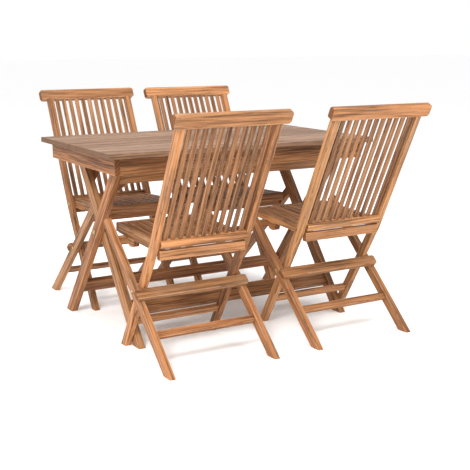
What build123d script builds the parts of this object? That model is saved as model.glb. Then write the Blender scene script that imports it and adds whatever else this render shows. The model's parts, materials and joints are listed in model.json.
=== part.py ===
from build123d import *
import math
import os

# A rectangular folding table on two crossed leg frames, with four folding slatted chairs
# pushed in around it. Millimetres. X runs along the table, Y across it, Z is up, and the
# origin is on the floor under the middle of the table.

# ---- Table: driving dimensions ----
table_length = 1200
table_width = 700
table_height = 750
top_thickness = 20
top_gap = 4                # between neighbouring top boards
top_board_count = 9

apron_inset = 35           # from the edge of the top to the outer face of an apron
apron_height = 65
apron_thickness = 22

table_leg_width = 46
table_leg_thickness = 28
outer_leg_face = 520       # outer face of the outer leg frame
leg_frame_gap = 2          # between the outer and the inner leg frame
table_foot_y = 305
table_hinge_y = 235
slide_clearance = 0.3      # between a rounded leg end and the underside of the top

frame_bar_width = 62
frame_bar_thickness = 22
top_bar_height = 642       # height of the middle of a leg frame's top bar
stretcher_height = 127
brace_reach = 46           # corner brace, along the bar
brace_drop = 56            # corner brace, down the leg
brace_thickness = 18

hinge_batten_depth = 45
hinge_batten_thickness = 20
cross_batten_width = 60
cross_batten_depth = 18
cross_batten_spacing = 230
catch_block_length = 30
catch_block_depth = 38

table_bolt_radius = 5
table_bolt_head_radius = 11
table_bolt_head_height = 4

# ---- Chair: driving dimensions ----
chair_height = 923
post_width = 32
post_thickness = 24
post_outer_face = 203
post_foot_y = 170
bend_y = -76               # the posts bend here, at seat level
bend_z = 410
back_lean = 25.4           # degrees from the vertical, above the bend

leg_width = 36
leg_thickness = 24
leg_gap = 1.5              # filled by a washer
leg_foot_y = -248
leg_slope = 1.08           # forward run for each unit of rise
leg_top_z = 474
leg_end_radius = 10

head_rail_length = 460
head_rail_height = 50
head_rail_thickness = 26
head_rail_setback = -2     # front face, measured backwards from the middle of the posts
lower_rail_height = 30
lower_rail_thickness = 28
lower_rail_setback = 0     # front face, measured backwards from the middle of the posts
lower_rail_rise = 27       # above the bend, along the posts
lower_rail_relief = (24, 8)  # bevel that lets the folding seat past, up and across

slat_count = 11
slat_width = 18
slat_thickness = 8
slat_setback = 0
slat_tenon = 6
tenon = 10                 # how far slats, rungs and rails are let in

rung_width = 28
rung_thickness = 18
front_rung_height = 110
rear_rung_height = 117
stop_bar_length = 472
stop_bar_width = 42
stop_bar_thickness = 18
stop_bar_clearance = 0.3   # between the stop bar and the posts that rest on it
top_bar_section_y = 22
top_bar_section_z = 28
top_bar_z = 408.5          # middle of the bar that carries the seat

seat_pivot_y = -76
seat_pivot_z = 430
seat_rise = 2.86           # degrees, front edge up
seat_half_width = 178
seat_top_above_pivot = 18
seat_slat_count = 10
seat_slat_width = 26
seat_slat_thickness = 10
seat_slat_start = 16       # distances along the seat, forwards from its pivot
seat_length = 341
seat_rail_width = 24
seat_rail_depth = 28
front_rail_thickness = 22
front_rail_depth = 36
rear_rail_thickness = 20
rear_rail_top = -10        # below the pivot
rear_rail_depth = 34
rear_rail_back = -31
batten_width = 22
cleat_start = 184
cleat_length = 50
cleat_depth = 30
cleat_radius = 16

bolt_radius = 4
bolt_head_radius = 8
bolt_head_height = 3.5
nut_radius = 7
nut_height = 5
running_clearance = 0.05
washer_radius = 9
face_gap = 0.2             # between a bolt head and the piece that turns under it

ease = 2                   # rounding of sawn edges
slat_ease = 1.5

# ---- Where the four chairs stand: middle of the chair on the floor, and its turn ----
chair_places = {
    1: (-227, 421, 180),
    2: (278, 372, 180),
    3: (-316, -421, 0),
    4: (315, -421, 0),
}

# ---- Worked out from the driving dimensions ----
top_underside = table_height - top_thickness
apron_face_x = table_length / 2 - apron_inset
apron_face_y = table_width / 2 - apron_inset
apron_bottom = top_underside - apron_height
table_hinge_z = top_underside - table_leg_width / 2 - slide_clearance
table_leg_run = (table_foot_y + table_hinge_y) / table_hinge_z
table_cross_z = table_foot_y / table_leg_run
table_leg_angle = math.degrees(math.atan(table_leg_run))
outer_leg_inner_face = outer_leg_face - table_leg_thickness
inner_leg_face = outer_leg_inner_face - leg_frame_gap
inner_leg_inner_face = inner_leg_face - table_leg_thickness

post_inner_face = post_outer_face - post_thickness
leg_inner_face = post_outer_face + leg_gap
leg_outer_face = leg_inner_face + leg_thickness
post_run = (post_foot_y - bend_y) / bend_z
lean_up = Vector(0, -math.sin(math.radians(back_lean)), math.cos(math.radians(back_lean)))
back_length = (chair_height - bend_z) / lean_up.Z - head_rail_height
cross_z = (post_foot_y - leg_foot_y) / (post_run + leg_slope)
cross_y = post_foot_y - post_run * cross_z
leg_angle = math.degrees(math.atan(leg_slope))
below_floor = 60           # members are made past the floor and then cut off level with it

os.makedirs("parts", exist_ok=True)


def plane_across(y, z, up_angle):
    """A plane across the set: x stays, y runs up a line that leans back by up_angle degrees."""
    lean = math.radians(up_angle)
    return Plane(origin=(0, y, z), x_dir=(1, 0, 0), z_dir=(0, -math.cos(lean), -math.sin(lean)))


def add_board(path, width, x_start, thickness):
    """A board whose side view is a line of (y, z) points with a width, in the current part."""
    with BuildSketch(Plane.YZ.offset(x_start)) as outline:
        with BuildLine():
            Polyline(*path)
        trace(line_width=width)
    extrude(outline.sketch, amount=thickness)


def add_bar(plane, half_length, low, high, near, far):
    """A bar along X in a plane: low to high up the plane, near to far along its normal."""
    with BuildSketch(plane.offset(near)) as section:
        with Locations((0, (low + high) / 2)):
            Rectangle(2 * half_length, high - low)
    extrude(section.sketch, amount=far - near)


def long_edges(part, shortest):
    return part.edges().filter_by(lambda edge: edge.length > shortest)


def add_bolt(y, z, radius, shank, head, nut):
    """A bolt along X. shank, head and nut are (start, end[, radius]) stretches along X."""
    for start, end, size in ((*shank, radius), head, nut):
        with BuildSketch(Plane.YZ.offset(start)) as disc:
            with Locations((y, z)):
                Circle(size)
        extrude(disc.sketch, amount=end - start)


def save(part, name):
    part.label = name
    export_step(part, "parts/" + name + ".step")


# ======================================================================== table

# Boards of the top, along its length, with thin gaps between them
board_pitch = (table_width + top_gap) / top_board_count
board_width = board_pitch - top_gap
with BuildPart() as top_slats:
    with BuildSketch(Plane.XY.offset(top_underside)):
        with GridLocations(0, board_pitch, 1, top_board_count):
            Rectangle(table_length, board_width)
    extrude(amount=top_thickness)
    fillet(top_slats.edges().filter_by(Axis.X).group_by(Axis.Z)[-1], ease)
save(top_slats.part, "table_top_slats")

with BuildPart() as long_aprons:
    with BuildSketch(Plane.XY.offset(apron_bottom)):
        for side in (1, -1):
            with Locations((0, side * (apron_face_y - apron_thickness / 2))):
                Rectangle(2 * (apron_face_x - apron_thickness), apron_thickness)
    extrude(amount=apron_height)
    fillet(long_aprons.edges().filter_by(Axis.X).group_by(Axis.Z)[0], ease)
save(long_aprons.part, "table_long_aprons")

with BuildPart() as end_aprons:
    with BuildSketch(Plane.XY.offset(apron_bottom)):
        for side in (1, -1):
            with Locations((side * (apron_face_x - apron_thickness / 2), 0)):
                Rectangle(apron_thickness, 2 * apron_face_y)
    extrude(amount=apron_height)
    fillet(end_aprons.edges().filter_by(Axis.Y).group_by(Axis.Z)[0], ease)
save(end_aprons.part, "table_end_aprons")

# Battens under the top. The two hinge battens stand on edge beside the outer legs
batten_half_span = apron_face_y - apron_thickness
hinge_batten_face = apron_face_x - apron_thickness - 1
with BuildPart() as hinge_battens:
    with BuildSketch(Plane.XY.offset(top_underside - hinge_batten_depth)):
        for side in (1, -1):
            with Locations((side * (hinge_batten_face - hinge_batten_thickness / 2), 0)):
                Rectangle(hinge_batten_thickness, 2 * batten_half_span)
    extrude(amount=hinge_batten_depth)
    for side in (1, -1):
        with BuildSketch(Plane.YZ.offset(side * hinge_batten_face)) as hinge_hole:
            with Locations((-table_hinge_y, table_hinge_z)):
                Circle(table_bolt_radius + running_clearance)
        extrude(hinge_hole.sketch, amount=-side * hinge_batten_thickness, mode=Mode.SUBTRACT)
save(hinge_battens.part, "table_hinge_battens")

with BuildPart() as cross_battens:
    with BuildSketch(Plane.XY.offset(top_underside - cross_batten_depth)):
        with GridLocations(cross_batten_spacing, 0, 3, 1):
            Rectangle(cross_batten_width, 2 * batten_half_span)
    extrude(amount=cross_batten_depth)
save(cross_battens.part, "table_cross_battens")

# Blocks behind the tops of the inner legs, which stop them from opening further
catch_y = batten_half_span - catch_block_length / 2
with BuildPart() as catch_blocks:
    with BuildSketch(Plane.XY.offset(top_underside - catch_block_depth)):
        for side in (1, -1):
            with Locations((side * (inner_leg_face - table_leg_thickness / 2), catch_y)):
                Rectangle(table_leg_thickness, catch_block_length)
    extrude(amount=catch_block_depth)
    fillet(catch_blocks.edges().filter_by(Axis.X).group_by(Axis.Z)[0], ease)
save(catch_blocks.part, "table_catch_blocks")


def leg_frame_plane(direction):
    """Plane of one leg frame through the crossing. direction is 1 where its feet are at +Y."""
    return plane_across(0, table_cross_z, direction * table_leg_angle)


def make_leg_frame(direction, outer_face, name):
    """Legs, top bar, stretcher and corner braces of one of the two crossed leg frames."""
    inner_face = outer_face - table_leg_thickness
    plane = leg_frame_plane(direction)
    along = 1 / math.cos(math.radians(table_leg_angle))
    bar_middle = (top_bar_height - table_cross_z) * along
    stretcher_middle = (stretcher_height - table_cross_z) * along
    foot = (direction * (table_foot_y + table_leg_run * below_floor), -below_floor)
    hinge = (-direction * table_hinge_y, table_hinge_z)

    with BuildPart() as top_bar:
        add_bar(plane, inner_face + tenon, bar_middle - frame_bar_width / 2,
                bar_middle + frame_bar_width / 2, -frame_bar_thickness / 2, frame_bar_thickness / 2)
        fillet(long_edges(top_bar.part, 500), ease)
    with BuildPart() as stretcher:
        add_bar(plane, inner_face + tenon, stretcher_middle - frame_bar_width / 2,
                stretcher_middle + frame_bar_width / 2, -frame_bar_thickness / 2, frame_bar_thickness / 2)
        fillet(long_edges(stretcher.part, 500), ease)

    with BuildPart() as legs:
        with BuildSketch(Plane.YZ.offset(inner_face)) as outline:
            with BuildLine():
                Polyline(foot, hinge)
            trace(line_width=table_leg_width)
            with Locations(hinge):
                Circle(table_leg_width / 2)
        extrude(outline.sketch, amount=table_leg_thickness)
        split(bisect_by=Plane.XY, keep=Keep.TOP)
        fillet(long_edges(legs.part, 300), ease)
        with BuildSketch(Plane.YZ.offset(inner_face)) as bolt_hole:
            with Locations((0, table_cross_z)):
                Circle(table_bolt_radius + running_clearance)
        extrude(bolt_hole.sketch, amount=table_leg_thickness, mode=Mode.SUBTRACT)
        if direction > 0:
            with BuildSketch(Plane.YZ.offset(inner_face)) as hinge_bore:
                with Locations(hinge):
                    Circle(table_bolt_radius + running_clearance)
            extrude(hinge_bore.sketch, amount=table_leg_thickness, mode=Mode.SUBTRACT)
        mirror(about=Plane.YZ)
        add(top_bar.part, mode=Mode.SUBTRACT)
        add(stretcher.part, mode=Mode.SUBTRACT)

    brace_top = bar_middle - frame_bar_width / 2
    with BuildPart() as braces:
        with BuildSketch(plane.offset(-brace_thickness / 2)) as triangle:
            with BuildLine():
                Polyline((inner_face, brace_top), (inner_face - brace_reach, brace_top),
                         (inner_face, brace_top - brace_drop), close=True)
            make_face()
        extrude(triangle.sketch, amount=brace_thickness)
        mirror(about=Plane.YZ)

    save(legs.part, name + "_legs")
    save(top_bar.part, name + "_top_bar")
    save(stretcher.part, name + "_stretcher")
    save(braces.part, name + "_braces")


make_leg_frame(1, outer_leg_face, "table_outer")
make_leg_frame(-1, inner_leg_face, "table_inner")

with BuildPart() as table_pivot_bolts:
    add_bolt(0, table_cross_z, table_bolt_radius,
             (inner_leg_inner_face - face_gap, outer_leg_face + face_gap),
             (outer_leg_face + face_gap, outer_leg_face + face_gap + table_bolt_head_height,
              table_bolt_head_radius),
             (inner_leg_inner_face - face_gap - table_bolt_head_height,
              inner_leg_inner_face - face_gap, table_bolt_head_radius))
    fillet(table_pivot_bolts.edges().filter_by(GeomType.CIRCLE).sort_by(Axis.X)[-1], ease)
    mirror(about=Plane.YZ)
save(table_pivot_bolts.part, "table_pivot_bolts")

hinge_bolt_end = hinge_batten_face - 4
with BuildPart() as table_hinge_bolts:
    add_bolt(-table_hinge_y, table_hinge_z, table_bolt_radius,
             (outer_leg_inner_face - face_gap, hinge_bolt_end - 2),
             (outer_leg_inner_face - face_gap - table_bolt_head_height,
              outer_leg_inner_face - face_gap, table_bolt_head_radius),
             (hinge_bolt_end - 2, hinge_bolt_end, table_bolt_radius))
    mirror(about=Plane.YZ)
save(table_hinge_bolts.part, "table_hinge_bolts")

# ======================================================================== chair
# One chair is made facing +Y, standing over the origin, and then placed four times.

back_plane = plane_across(bend_y, bend_z, back_lean)
seat_plane = Plane(origin=(0, seat_pivot_y, seat_pivot_z), x_dir=(1, 0, 0),
                   z_dir=(0, -math.sin(math.radians(seat_rise)), math.cos(math.radians(seat_rise))))
post_plane = plane_across(cross_y, cross_z, math.degrees(math.atan(post_run)))
leg_plane = plane_across(cross_y, cross_z, -leg_angle)

# Lower back rail, rounded towards the sitter's back and bevelled under its front edge
back_section = Plane(origin=(0, bend_y, bend_z), x_dir=-back_plane.z_dir, z_dir=(1, 0, 0))
rail_front = -lower_rail_setback
rail_back = rail_front - lower_rail_thickness
rail_low = lower_rail_rise
rail_high = lower_rail_rise + lower_rail_height
relief_up, relief_across = lower_rail_relief
with BuildPart() as lower_back_rail:
    with BuildSketch(back_section.offset(-post_inner_face)) as rail_profile:
        with BuildLine():
            Polyline((rail_front, rail_high), (rail_back, rail_high), (rail_back, rail_low),
                     (rail_front - relief_across, rail_low), (rail_front, rail_low + relief_up),
                     close=True)
        make_face()
        fillet(rail_profile.vertices().sort_by(Axis.X)[:2], lower_rail_height * 0.36)
    extrude(rail_profile.sketch, amount=2 * post_inner_face)

# Back slats, let into the lower rail and the head rail
slat_low = lower_rail_rise + lower_rail_height - slat_tenon
slat_high = back_length + tenon
slat_pitch = (2 * post_inner_face - slat_count * slat_width) / (slat_count + 1) + slat_width
with BuildPart() as back_slats:
    with BuildSketch(back_plane.offset(slat_setback)):
        with Locations((0, (slat_low + slat_high) / 2)):
            with GridLocations(slat_pitch, 0, slat_count, 1):
                Rectangle(slat_width, slat_high - slat_low)
    extrude(amount=slat_thickness)
    fillet(long_edges(back_slats.part, 300), slat_ease)

# Rungs and bars, let into the posts and legs between which they run
along_post = math.sqrt(1 + post_run ** 2)
along_leg = math.sqrt(1 + leg_slope ** 2)
front_rung_middle = (front_rung_height - cross_z) * along_post
rear_rung_middle = (rear_rung_height - cross_z) * along_leg
with BuildPart() as front_rung:
    add_bar(post_plane, post_inner_face + tenon, front_rung_middle - rung_width / 2,
            front_rung_middle + rung_width / 2, -rung_thickness / 2, rung_thickness / 2)
    fillet(long_edges(front_rung.part, 300), ease)

with BuildPart() as rear_rung:
    add_bar(leg_plane, leg_inner_face + tenon, rear_rung_middle - rung_width / 2,
            rear_rung_middle + rung_width / 2, -rung_thickness / 2, rung_thickness / 2)
    fillet(long_edges(rear_rung.part, 300), ease)

top_bar_y = leg_foot_y + leg_slope * top_bar_z
with BuildPart() as seat_bar:
    with BuildSketch(Plane.YZ.offset(-(leg_inner_face + tenon))) as bar_section:
        with Locations((top_bar_y, top_bar_z)):
            Rectangle(top_bar_section_y, top_bar_section_z)
    extrude(bar_section.sketch, amount=2 * (leg_inner_face + tenon))
    fillet(long_edges(seat_bar.part, 300), ease)

# The stop bar lies on the backs of the legs, just under the crossing. Opened, the backs of
# the posts come to rest on its upper edge.
crossing_angle = math.radians(leg_angle) + math.atan(post_run)
stop_bar_high = -((post_width / 2 + stop_bar_clearance) / math.sin(crossing_angle)
                  - (leg_width / 2) / math.tan(crossing_angle))
with BuildPart() as stop_bar:
    with BuildSketch(leg_plane.offset(leg_width / 2)):
        with Locations((0, stop_bar_high - stop_bar_width / 2)):
            RectangleRounded(stop_bar_length, stop_bar_width, stop_bar_width * 0.25)
    extrude(amount=stop_bar_thickness)
    fillet(stop_bar.faces().sort_by(Axis.Y)[0].edges(), ease)

# Back posts: foot in front, bent at seat level, leaning back above it
post_foot = (post_foot_y + post_run * below_floor, -below_floor)
post_top = (bend_y + lean_up.Y * back_length, bend_z + lean_up.Z * back_length)
post_tenon_width = post_thickness - 8
with BuildPart() as back_posts:
    add_board([post_foot, (bend_y, bend_z), post_top], post_width, post_inner_face, post_thickness)
    split(bisect_by=Plane.XY, keep=Keep.TOP)
    fillet(long_edges(back_posts.part, 300), ease)
    with BuildSketch(back_plane.offset(2)) as tenon_face:
        with Locations((post_inner_face + post_thickness / 2, back_length + tenon / 2)):
            Rectangle(post_tenon_width, tenon)
    extrude(tenon_face.sketch, amount=post_width / 2 - 4)
    for hole_y, hole_z, clearance in ((cross_y, cross_z, running_clearance),
                                      (seat_pivot_y, seat_pivot_z, running_clearance)):
        with BuildSketch(Plane.YZ.offset(post_inner_face)) as post_hole:
            with Locations((hole_y, hole_z)):
                Circle(bolt_radius + clearance)
        extrude(post_hole.sketch, amount=post_thickness, mode=Mode.SUBTRACT)
    mirror(about=Plane.YZ)
    add(front_rung.part, mode=Mode.SUBTRACT)

# Head rail: a board with a rounded top and rounded ends, over the posts and slats
with BuildPart() as head_rail:
    with BuildSketch(back_plane.offset(head_rail_setback)):
        with Locations((0, back_length + head_rail_height / 2)):
            RectangleRounded(head_rail_length, head_rail_height, head_rail_height * 0.26)
    extrude(amount=head_rail_thickness)
    with BuildSketch(back_section.offset(-head_rail_length / 2)) as rail_section:
        with Locations((-head_rail_setback - head_rail_thickness / 2,
                        back_length + head_rail_height / 2)):
            Rectangle(head_rail_thickness, head_rail_height)
        fillet(rail_section.vertices().sort_by(Axis.Y)[-2:], head_rail_thickness * 0.42)
    extrude(rail_section.sketch, amount=head_rail_length, mode=Mode.INTERSECT)
    add(back_posts.part, mode=Mode.SUBTRACT)
    add(back_slats.part, mode=Mode.SUBTRACT)

with BuildPart() as slotted_lower_rail:
    add(lower_back_rail.part)
    add(back_slats.part, mode=Mode.SUBTRACT)

# Seat legs: foot at the back, running up outside the posts to the front of the seat
leg_foot = (leg_foot_y - leg_slope * below_floor, -below_floor)
leg_top = (leg_foot_y + leg_slope * leg_top_z, leg_top_z)
with BuildPart() as seat_legs:
    add_board([leg_foot, leg_top], leg_width, leg_inner_face, leg_thickness)
    fillet(seat_legs.edges().filter_by(Axis.X).sort_by(Axis.Z)[-2:], leg_end_radius)
    split(bisect_by=Plane.XY, keep=Keep.TOP)
    fillet(long_edges(seat_legs.part, 300), ease)
    with BuildSketch(Plane.YZ.offset(leg_inner_face)) as leg_hole:
        with Locations((cross_y, cross_z)):
            Circle(bolt_radius + running_clearance)
    extrude(leg_hole.sketch, amount=leg_thickness, mode=Mode.SUBTRACT)
    mirror(about=Plane.YZ)
    add(rear_rung.part, mode=Mode.SUBTRACT)
    add(seat_bar.part, mode=Mode.SUBTRACT)

# Seat frame, in the plane of the seat: y forwards from the pivot, z up from it
rail_top = seat_top_above_pivot - seat_slat_thickness
rail_start = rear_rail_back + rear_rail_thickness
rail_end = seat_length - front_rail_thickness
rail_middle_x = seat_half_width - seat_rail_width / 2
with BuildPart() as side_rails:
    with BuildSketch(seat_plane.offset(rail_top)):
        for side in (1, -1):
            with Locations((side * rail_middle_x, (rail_start + rail_end) / 2)):
                Rectangle(seat_rail_width, rail_end - rail_start)
    extrude(amount=-seat_rail_depth)
    for side in (1, -1):
        with BuildSketch(Plane.YZ.offset(side * seat_half_width)) as seat_hole:
            with Locations((seat_pivot_y, seat_pivot_z)):
                Circle(bolt_radius + running_clearance)
        extrude(seat_hole.sketch, amount=-side * seat_rail_width, mode=Mode.SUBTRACT)

with BuildPart() as cross_rails:
    with BuildSketch(seat_plane.offset(seat_top_above_pivot)) as front_rail_top:
        with Locations((0, seat_length - front_rail_thickness / 2)):
            Rectangle(2 * seat_half_width, front_rail_thickness)
    extrude(front_rail_top.sketch, amount=-front_rail_depth)
    front_edges = long_edges(cross_rails.part, 300).sort_by(Axis.Y)[-2:]
    fillet(front_edges.sort_by(Axis.Z)[-1], front_rail_thickness * 0.4)
    fillet(long_edges(cross_rails.part, 300).sort_by(Axis.Z)[0], ease * 2)
    with BuildSketch(seat_plane.offset(rear_rail_top)) as rear_rail_face:
        with Locations((0, rear_rail_back + rear_rail_thickness / 2)):
            Rectangle(2 * seat_half_width, rear_rail_thickness)
    extrude(rear_rail_face.sketch, amount=-rear_rail_depth)
    with BuildSketch(seat_plane.offset(rail_top)) as batten_face:
        with Locations((0, seat_slat_start + batten_width / 2)):
            Rectangle(2 * (seat_half_width - seat_rail_width), batten_width)
    extrude(batten_face.sketch, amount=-batten_width)

# Cleats under the side rails, behind the bar that carries the seat
cleat_low = rail_top - seat_rail_depth - cleat_depth
with BuildPart() as cleats:
    with BuildSketch(seat_plane.offset(cleat_low)):
        for side in (1, -1):
            with Locations((side * rail_middle_x, cleat_start + cleat_length / 2)):
                Rectangle(seat_rail_width, cleat_length)
    extrude(amount=cleat_depth)
    fillet(cleats.edges().filter_by(Axis.X).sort_by(Axis.Z)[:4], cleat_radius)

seat_slat_pitch = (2 * seat_half_width - seat_slat_width) / (seat_slat_count - 1)
with BuildPart() as seat_slats:
    with BuildSketch(seat_plane.offset(rail_top)):
        with Locations((0, (seat_slat_start + rail_end) / 2)):
            with GridLocations(seat_slat_pitch, 0, seat_slat_count, 1):
                Rectangle(seat_slat_width, rail_end - seat_slat_start)
    extrude(amount=seat_slat_thickness)
    fillet(long_edges(seat_slats.part, 200).group_by(Axis.Z)[-1], slat_ease)

# Bolts at the crossing, each with a washer between post and leg, and bolts that carry the seat
with BuildPart() as pivot_bolts:
    add_bolt(cross_y, cross_z, bolt_radius,
             (post_inner_face - face_gap, leg_outer_face + face_gap),
             (leg_outer_face + face_gap, leg_outer_face + face_gap + bolt_head_height,
              bolt_head_radius),
             (post_inner_face - face_gap - nut_height, post_inner_face - face_gap, nut_radius))
    fillet(pivot_bolts.edges().filter_by(GeomType.CIRCLE).sort_by(Axis.X)[-1], ease)
    mirror(about=Plane.YZ)

with BuildPart() as pivot_washers:
    with BuildSketch(Plane.YZ.offset(post_outer_face + face_gap)):
        with Locations((cross_y, cross_z)):
            Circle(washer_radius)
            Circle(bolt_radius + running_clearance, mode=Mode.SUBTRACT)
    extrude(amount=leg_gap - 2 * face_gap)
    mirror(about=Plane.YZ)

with BuildPart() as seat_bolts:
    add_bolt(seat_pivot_y, seat_pivot_z, bolt_radius,
             (seat_half_width - seat_rail_width - face_gap, post_outer_face + face_gap),
             (post_outer_face + face_gap, post_outer_face + face_gap + 1, nut_radius),
             (seat_half_width - seat_rail_width - face_gap - 3,
              seat_half_width - seat_rail_width - face_gap, nut_radius))
    mirror(about=Plane.YZ)



def group(*parts):
    """Pieces that share a node but stay separate solids."""
    return Compound([solid for part in parts for solid in part.solids()])


chair_parts = {
    "back_posts": back_posts.part,
    "head_rail": head_rail.part,
    "back_slats": back_slats.part,
    "lower_back_rail": slotted_lower_rail.part,
    "front_rung": front_rung.part,
    "seat_legs": seat_legs.part,
    "leg_crossbars": group(rear_rung.part, seat_bar.part, stop_bar.part),
    "seat_frame": group(side_rails.part, cross_rails.part, cleats.part),
    "seat_slats": seat_slats.part,
    "pivot_bolts": group(pivot_bolts.part, pivot_washers.part),
    "seat_bolts": seat_bolts.part,
}

for number, (place_x, place_y, turn) in chair_places.items():
    place = Location((place_x, place_y, 0), (0, 0, turn))
    for piece_name, piece in chair_parts.items():
        save(piece.moved(place), f"chair_{number}_{piece_name}")
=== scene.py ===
import json
import math
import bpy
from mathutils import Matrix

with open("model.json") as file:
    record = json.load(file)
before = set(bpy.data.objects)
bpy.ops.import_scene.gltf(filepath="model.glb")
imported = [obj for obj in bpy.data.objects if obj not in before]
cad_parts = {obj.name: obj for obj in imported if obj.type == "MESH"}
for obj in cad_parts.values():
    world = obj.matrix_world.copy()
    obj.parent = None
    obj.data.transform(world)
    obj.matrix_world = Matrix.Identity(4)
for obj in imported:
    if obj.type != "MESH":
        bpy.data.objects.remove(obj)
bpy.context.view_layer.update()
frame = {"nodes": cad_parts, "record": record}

import zlib

import bpy
import numpy as np

# Teak garden dining set. The shapes are the CAD nodes themselves. This script works out how
# each board runs, so that the grain follows it, and adds the materials, light and camera.
# Lengths are in metres.

scene = bpy.context.scene

# ---------------------------------------------------------------- boards and their grain

PALE_BOARDS = ("lower_back_rail",)          # the rounded rail under each back is the palest
# The stretcher and leg crossbars under the tabletop take tones from the darker half: painted shade
# under the table
SHADED_UNDER_TABLE_BOARDS = ("stretcher", "leg_crossbars")
PALE_TONES = (0.93, 0.07)                   # least tone and spread above it, where 1 is pale
UNDER_TABLE_SHADE_TONE_SHARE = 0.5
ONE_WAY = np.array([0.61, 0.52, 0.60])      # tells a direction from its opposite
SIDE_FACING = 0.3                           # a face less along the thickness than this is a side
END_FACING = 0.75                           # a face more along the length than this is an end


def board_labels(mesh, points):
    """Numbers the separate solids of a mesh: one label for each vertex."""
    _, same = np.unique(np.round(points, 5), axis=0, return_inverse=True)
    same = same.reshape(-1)
    label = np.arange(same.max() + 1)
    ends = np.empty(len(mesh.edges) * 2, np.int32)
    mesh.edges.foreach_get("vertices", ends)
    pairs = same[ends].reshape(-1, 2)
    while True:
        lowest = label.copy()
        np.minimum.at(lowest, pairs[:, 0], label[pairs[:, 1]])
        np.minimum.at(lowest, pairs[:, 1], label[pairs[:, 0]])
        lowest = lowest[lowest]
        if np.array_equal(lowest, label):
            return label[same]
        label = lowest


def strongest(normals, areas):
    """The direction that most of the given area faces, either way round."""
    flip = np.where(normals @ ONE_WAY < 0, -1.0, 1.0)
    facing = normals * flip[:, None]
    keys, group = np.unique(np.round(facing, 1), axis=0, return_inverse=True)
    group = group.reshape(-1)
    total = np.bincount(group, weights=areas, minlength=len(keys))
    chosen = group == int(np.argmax(np.round(total, 9)))
    mean = (facing[chosen] * areas[chosen, None]).sum(axis=0)
    return mean / np.linalg.norm(mean)


def board_axes(normals, areas):
    """Length, width and thickness directions of one board, from the areas of its faces."""
    thick = strongest(normals, areas)
    upright = np.abs(normals @ thick) < SIDE_FACING
    if not upright.any():
        upright = np.ones(len(normals), bool)
    wide = strongest(normals[upright], areas[upright])
    wide = wide - thick * float(wide @ thick)
    wide = wide / np.linalg.norm(wide)
    return np.stack([np.cross(wide, thick), wide, thick])


def lay_grain(obj):
    """Stores on a wooden piece where each point is in its own board, and how the board varies."""
    mesh = obj.data
    points = np.empty(len(mesh.vertices) * 3, np.float32)
    mesh.vertices.foreach_get("co", points)
    points = points.reshape(-1, 3).astype(float)
    normals = np.empty(len(mesh.polygons) * 3, np.float32)
    mesh.polygons.foreach_get("normal", normals)
    normals = normals.reshape(-1, 3).astype(float)
    areas = np.empty(len(mesh.polygons), np.float32)
    mesh.polygons.foreach_get("area", areas)
    first = np.array([p.vertices[0] for p in mesh.polygons])
    labels = board_labels(mesh, points)

    grain = np.zeros_like(points)
    size = np.zeros_like(points)
    board = np.zeros_like(points)
    end = np.zeros(len(mesh.polygons))
    for order, label in enumerate(np.unique(labels)):
        mine = labels == label
        faces = labels[first] == label
        axes = board_axes(normals[faces], areas[faces].astype(float))
        local = points[mine] @ axes.T
        low, high = local.min(axis=0), local.max(axis=0)
        grain[mine] = local - (low + high) / 2
        size[mine] = (high - low) / 2
        chance = np.random.default_rng(zlib.crc32(f"{obj.name}/{order}".encode())).random(3)
        if any(word in obj.name for word in PALE_BOARDS):
            chance[0] = PALE_TONES[0] + PALE_TONES[1] * chance[0]
        # Boards under the tabletop: a darker tone as painted shade
        elif any(word in obj.name for word in SHADED_UNDER_TABLE_BOARDS):
            chance[0] = UNDER_TABLE_SHADE_TONE_SHARE * chance[0]
        board[mine] = chance
        end[faces] = np.abs(normals[faces] @ axes[0]) > END_FACING
    for name, values in (("grain", grain), ("board_size", size), ("board_chance", board)):
        layer = mesh.attributes.new(name, "FLOAT_VECTOR", "POINT")
        layer.data.foreach_set("vector", values.astype(np.float32).reshape(-1))
    layer = mesh.attributes.new("end_grain", "FLOAT", "FACE")
    layer.data.foreach_set("value", end.astype(np.float32))


# ---------------------------------------------------------------- materials

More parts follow.
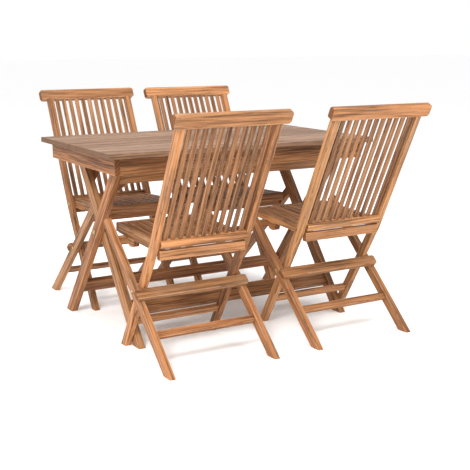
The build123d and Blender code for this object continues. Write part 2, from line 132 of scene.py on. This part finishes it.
class Nodes:
    """Short ways to add and join the nodes of one material."""

    def __init__(self, name):
        self.material = bpy.data.materials.new(name)
        self.material.use_nodes = True
        self.tree = self.material.node_tree
        self.tree.nodes.clear()

    def add(self, kind, settings=None, **inputs):
        node = self.tree.nodes.new(kind)
        for key, value in (settings or {}).items():
            setattr(node, key, value)
        for key, value in inputs.items():
            self.put(node.inputs[key.replace("_", " ")], value)
        return node

    def put(self, socket, value):
        if isinstance(value, bpy.types.NodeSocket):
            self.tree.links.new(value, socket)
        else:
            socket.default_value = value

    def math(self, operation, a, b=0.0, clamp=False):
        node = self.add("ShaderNodeMath", {"operation": operation, "use_clamp": clamp})
        self.put(node.inputs[0], a)
        self.put(node.inputs[1], b)
        return node.outputs[0]

    def vector(self, operation, a, b):
        node = self.add("ShaderNodeVectorMath", {"operation": operation})
        self.put(node.inputs[0], a)
        self.put(node.inputs[1], b)
        return node.outputs[0]

    def ramp(self, value, low, high, start=0.0, stop=1.0):
        """value from low..high to start..stop, held at the ends, with a smooth step between."""
        node = self.add("ShaderNodeMapRange", {"interpolation_type": "SMOOTHSTEP"}, Value=value)
        self.put(node.inputs["From Min"], low)
        self.put(node.inputs["From Max"], high)
        self.put(node.inputs["To Min"], start)
        self.put(node.inputs["To Max"], stop)
        return node.outputs[0]

    def mix(self, factor, a, b, blend="MIX"):
        node = self.add("ShaderNodeMix", {"data_type": "RGBA", "blend_type": blend})
        self.put(node.inputs[0], factor)
        self.put(node.inputs[6], a)
        self.put(node.inputs[7], b)
        return node.outputs[2]

    def noise(self, vector, scale, detail=4.0, roughness=0.55, distortion=0.0):
        node = self.add("ShaderNodeTexNoise", Vector=vector, Scale=scale, Detail=detail,
                        Roughness=roughness, Distortion=distortion)
        return node.outputs["Fac"]

    def attribute(self, name):
        return self.add("ShaderNodeAttribute", {"attribute_name": name})

    def finish(self, bump_height, distance, **values):
        bump = self.add("ShaderNodeBump", Height=bump_height, Strength=1.0, Distance=distance)
        shader = self.add("ShaderNodeBsdfPrincipled", Normal=bump.outputs[0], **values)
        output = self.add("ShaderNodeOutputMaterial", Surface=shader.outputs[0])
        output.location = (600, 0)
        return self.material


def rgb(red, green, blue):
    return (red, green, blue, 1.0)


RING_RATE = 520.0                           # radians of ring for each metre of radius
PORE_BROWN = rgb(0.16, 0.07, 0.03)


def teak(name, pale, mid, dark, grey, edge_colour_wear_and_gap_shade, roughness):
    """Solid teak: rings and pores that run along each board, rings at its ends, and edges in the edge
    colour: worn pale on the frame and slats, painted shade in the gaps of the top.
    """
    n = Nodes(name)
    place = n.attribute("grain").outputs["Vector"]
    size = n.attribute("board_size").outputs["Vector"]
    chance = n.attribute("board_chance").outputs["Vector"]
    end = n.attribute("end_grain").outputs["Fac"]
    chances = n.add("ShaderNodeSeparateXYZ", Vector=chance)
    tone, tint, figure = chances.outputs
    along, across, through = n.add("ShaderNodeSeparateXYZ", Vector=place).outputs
    _, half_width, half_thickness = n.add("ShaderNodeSeparateXYZ", Vector=size).outputs

    # Each board is cut from its own part of the log
    moved = n.vector("ADD", place, n.vector("MULTIPLY", chance, (9.0, 7.0, 5.0)))
    sway = n.noise(n.vector("MULTIPLY", moved, (1.6, 5.0, 5.0)), 1.0, detail=2.0)
    heart_y = n.math("ADD", across, n.ramp(figure, 0.0, 1.0, -0.09, 0.09))
    heart_z = n.math("ADD", through, n.ramp(tint, 0.0, 1.0, 0.03, 0.11))
    squares = n.math("ADD", n.math("MULTIPLY", heart_y, heart_y),
                     n.math("MULTIPLY", heart_z, heart_z))
    radius = n.math("ADD", n.math("SQRT", squares), n.math("MULTIPLY", sway, 0.055))
    rings = n.math("SINE", n.math("MULTIPLY", radius, RING_RATE))
    rings = n.ramp(rings, -1.0, 1.0)

    broad = n.noise(n.vector("MULTIPLY", moved, (2.6, 75.0, 75.0)), 1.0, detail=3.0)
    streaks = n.noise(n.vector("MULTIPLY", moved, (7.0, 260.0, 260.0)), 1.0, detail=5.0)
    pores = n.noise(n.vector("MULTIPLY", moved, (60.0, 1500.0, 1500.0)), 1.0, detail=2.0)
    pores = n.ramp(pores, 0.56, 0.70)
    blotches = n.noise(n.vector("MULTIPLY", moved, (4.5, 9.0, 9.0)), 1.0, detail=3.0)

    colour = n.mix(n.ramp(tone, 0.0, 1.0), mid, pale)
    colour = n.mix(n.ramp(broad, 0.44, 0.68, 0.0, 0.85), colour, dark)
    dark_rings = n.math("MULTIPLY", rings, n.ramp(streaks, 0.38, 0.62, 0.05, 0.50))
    colour = n.mix(dark_rings, colour, dark)
    colour = n.mix(n.ramp(streaks, 0.34, 0.56, 0.45, 0.0), colour, pale)
    colour = n.mix(n.ramp(blotches, 0.50, 0.72, 0.0, 0.30), colour, grey)
    colour = n.mix(n.math("MULTIPLY", pores, 0.35), colour, PORE_BROWN)

    # Reddish and yellowish boards side by side
    warm = n.mix(n.ramp(tint, 0.0, 1.0), rgb(1.03, 0.97, 0.92), rgb(0.98, 1.02, 1.03))
    colour = n.mix(1.0, colour, warm, "MULTIPLY")

    # End grain drinks more oil and dirt: darker and duller, with tighter rings
    end_colour = n.mix(rings, n.mix(0.62, mid, dark), n.mix(0.25, mid, dark))
    colour = n.mix(end, colour, end_colour)

    # Edges: rubbed pale by hands and weather on the frame and slats; on the top the edge colour is
    # dark, painted shade in the gaps where boards lie side by side
    to_side = n.math("SUBTRACT", half_width, n.math("ABSOLUTE", across))
    to_face = n.math("SUBTRACT", half_thickness, n.math("ABSOLUTE", through))
    to_edge = n.math("MAXIMUM", to_side, to_face)
    rub = n.noise(n.vector("MULTIPLY", moved, (25.0, 60.0, 60.0)), 1.0, detail=3.0)
    wear_and_gap_shade_mask = n.math("MULTIPLY", n.ramp(to_edge, 0.0006, 0.0050, 1.0, 0.0), n.ramp(rub, 0.36, 0.58))
    colour = n.mix(n.math("MULTIPLY", wear_and_gap_shade_mask, 0.5), colour, edge_colour_wear_and_gap_shade)

    height = n.math("ADD", n.math("MULTIPLY", streaks, 0.7), n.math("MULTIPLY", rings, 0.22))
    height = n.math("SUBTRACT", height, n.math("MULTIPLY", pores, 0.5))
    dull = n.math("ADD", n.ramp(streaks, 0.3, 0.7, roughness - 0.06, roughness + 0.08),
                  n.math("MULTIPLY", end, 0.2))
    return n.finish(height, 0.0009, Base_Color=colour, Roughness=dull, IOR=1.45,
                    Specular_IOR_Level=0.3)


def dull_brass(name):
    """Bolt heads that have been outdoors: brown in the hollows, brighter where touched."""
    n = Nodes(name)
    place = n.add("ShaderNodeTexCoord").outputs["Object"]
    cloud = n.noise(place, 160.0, detail=5.0)
    scratch = n.noise(n.vector("MULTIPLY", place, (900.0, 900.0, 120.0)), 1.0, detail=3.0)
    colour = n.mix(n.ramp(cloud, 0.38, 0.62), rgb(0.58, 0.42, 0.19), rgb(0.27, 0.17, 0.08))
    rough = n.ramp(cloud, 0.35, 0.65, 0.34, 0.58)
    return n.finish(scratch, 0.0002, Base_Color=colour, Roughness=rough, Metallic=1.0)


materials = {
    "teak_frame": teak("teak_frame", rgb(0.515, 0.240, 0.098), rgb(0.250, 0.099, 0.035),
                       rgb(0.048, 0.015, 0.005), rgb(0.26, 0.155, 0.090),
                       rgb(0.48, 0.27, 0.14), 0.55),
    # The top's pale and mid colours are greyer than the frame's: painted sheen, the grazing reflection
    # of the white surroundings matched into the base colour
    "teak_top": teak("teak_top", rgb(0.335, 0.205, 0.129), rgb(0.205, 0.113, 0.065),
                     rgb(0.058, 0.028, 0.015), rgb(0.25, 0.182, 0.130),
                     # Edge colour of the top: painted shade in the gaps between its boards
                     rgb(0.040, 0.020, 0.012), 0.56),
    "teak_slats": teak("teak_slats", rgb(0.385, 0.178, 0.076), rgb(0.178, 0.072, 0.027),
                       rgb(0.042, 0.014, 0.005), rgb(0.21, 0.125, 0.073),
                       rgb(0.37, 0.21, 0.11), 0.55),
    "bolt_metal": dull_brass("bolt_metal"),
}
slot_of = {part["node"]: part["material_slot"] for part in frame["record"]["subparts"]}
for node, obj in frame["nodes"].items():
    if slot_of[node] != "bolt_metal":
        lay_grain(obj)
    obj.data.materials.clear()
    obj.data.materials.append(materials[slot_of[node]])

# ---------------------------------------------------------------- floor, light and camera

FLOOR_REACH = 40
CAMERA_AT = (-1.969, -3.482, 1.168)
CAMERA_TILT, CAMERA_ROLL, CAMERA_HEADING = 11.82, 0.12, 31.12      # degrees

paper = Nodes("paper_floor")
paper_place = paper.add("ShaderNodeTexCoord").outputs["Object"]
paper_cloud = paper.noise(paper_place, 2.0, detail=2.0)
paper_colour = paper.mix(paper_cloud, rgb(0.97, 0.97, 0.97), rgb(0.99, 0.99, 0.99))
floor_mesh = bpy.data.meshes.new("floor")
floor_corners = [(x * FLOOR_REACH, y * FLOOR_REACH, 0) for x, y in ((-1, -1), (1, -1), (1, 1), (-1, 1))]
floor_mesh.from_pydata(floor_corners, [], [(0, 1, 2, 3)])
floor = bpy.data.objects.new("floor", floor_mesh)
paper_material = paper.finish(paper_cloud, 0.0001, Base_Color=paper_colour, Roughness=0.9)
floor_mesh.materials.append(paper_material)
scene.collection.objects.link(floor)

world = bpy.data.worlds.new("studio")
world.use_nodes = True
world.node_tree.nodes["Background"].inputs["Color"].default_value = rgb(1.0, 1.0, 1.0)
world.node_tree.nodes["Background"].inputs["Strength"].default_value = 1.0
scene.world = world


def soft_light(name, at, aim, width, height, watts, colour):
    light = bpy.data.lights.new(name, "AREA")
    light.shape = "RECTANGLE"
    light.size = width
    light.size_y = height
    light.energy = watts
    light.color = colour
    lamp = bpy.data.objects.new(name, light)
    lamp.location = at
    direction = np.array(aim, float) - np.array(at, float)
    flat = math.hypot(direction[0], direction[1])
    lamp.rotation_euler = (math.atan2(flat, -direction[2]), 0.0,
                           math.atan2(-direction[0], direction[1]))
    scene.collection.objects.link(lamp)
    return lamp


soft_light("key", (-3.0, -2.6, 3.4), (0, 0, 0.5), 1.4, 1.4, 210, (1.0, 0.985, 0.96))
soft_light("overhead", (0.4, 0.6, 4.2), (0, 0, 0.4), 3.2, 3.2, 90, (1.0, 1.0, 1.0))
soft_light("front_fill", (1.6, -4.2, 1.9), (0, 0, 0.5), 2.4, 1.8, 55, (1.0, 0.97, 0.93))

camera_data = bpy.data.cameras.new("camera")
camera_data.lens = 73.2
camera_data.sensor_width = 36.0
camera_data.clip_end = 200.0
camera = bpy.data.objects.new("camera", camera_data)
camera.location = CAMERA_AT
camera.rotation_euler = (math.radians(90 - CAMERA_TILT), math.radians(-CAMERA_ROLL),
                         math.radians(-CAMERA_HEADING))
scene.collection.objects.link(camera)
scene.camera = camera
scene.view_settings.view_transform = "Standard"
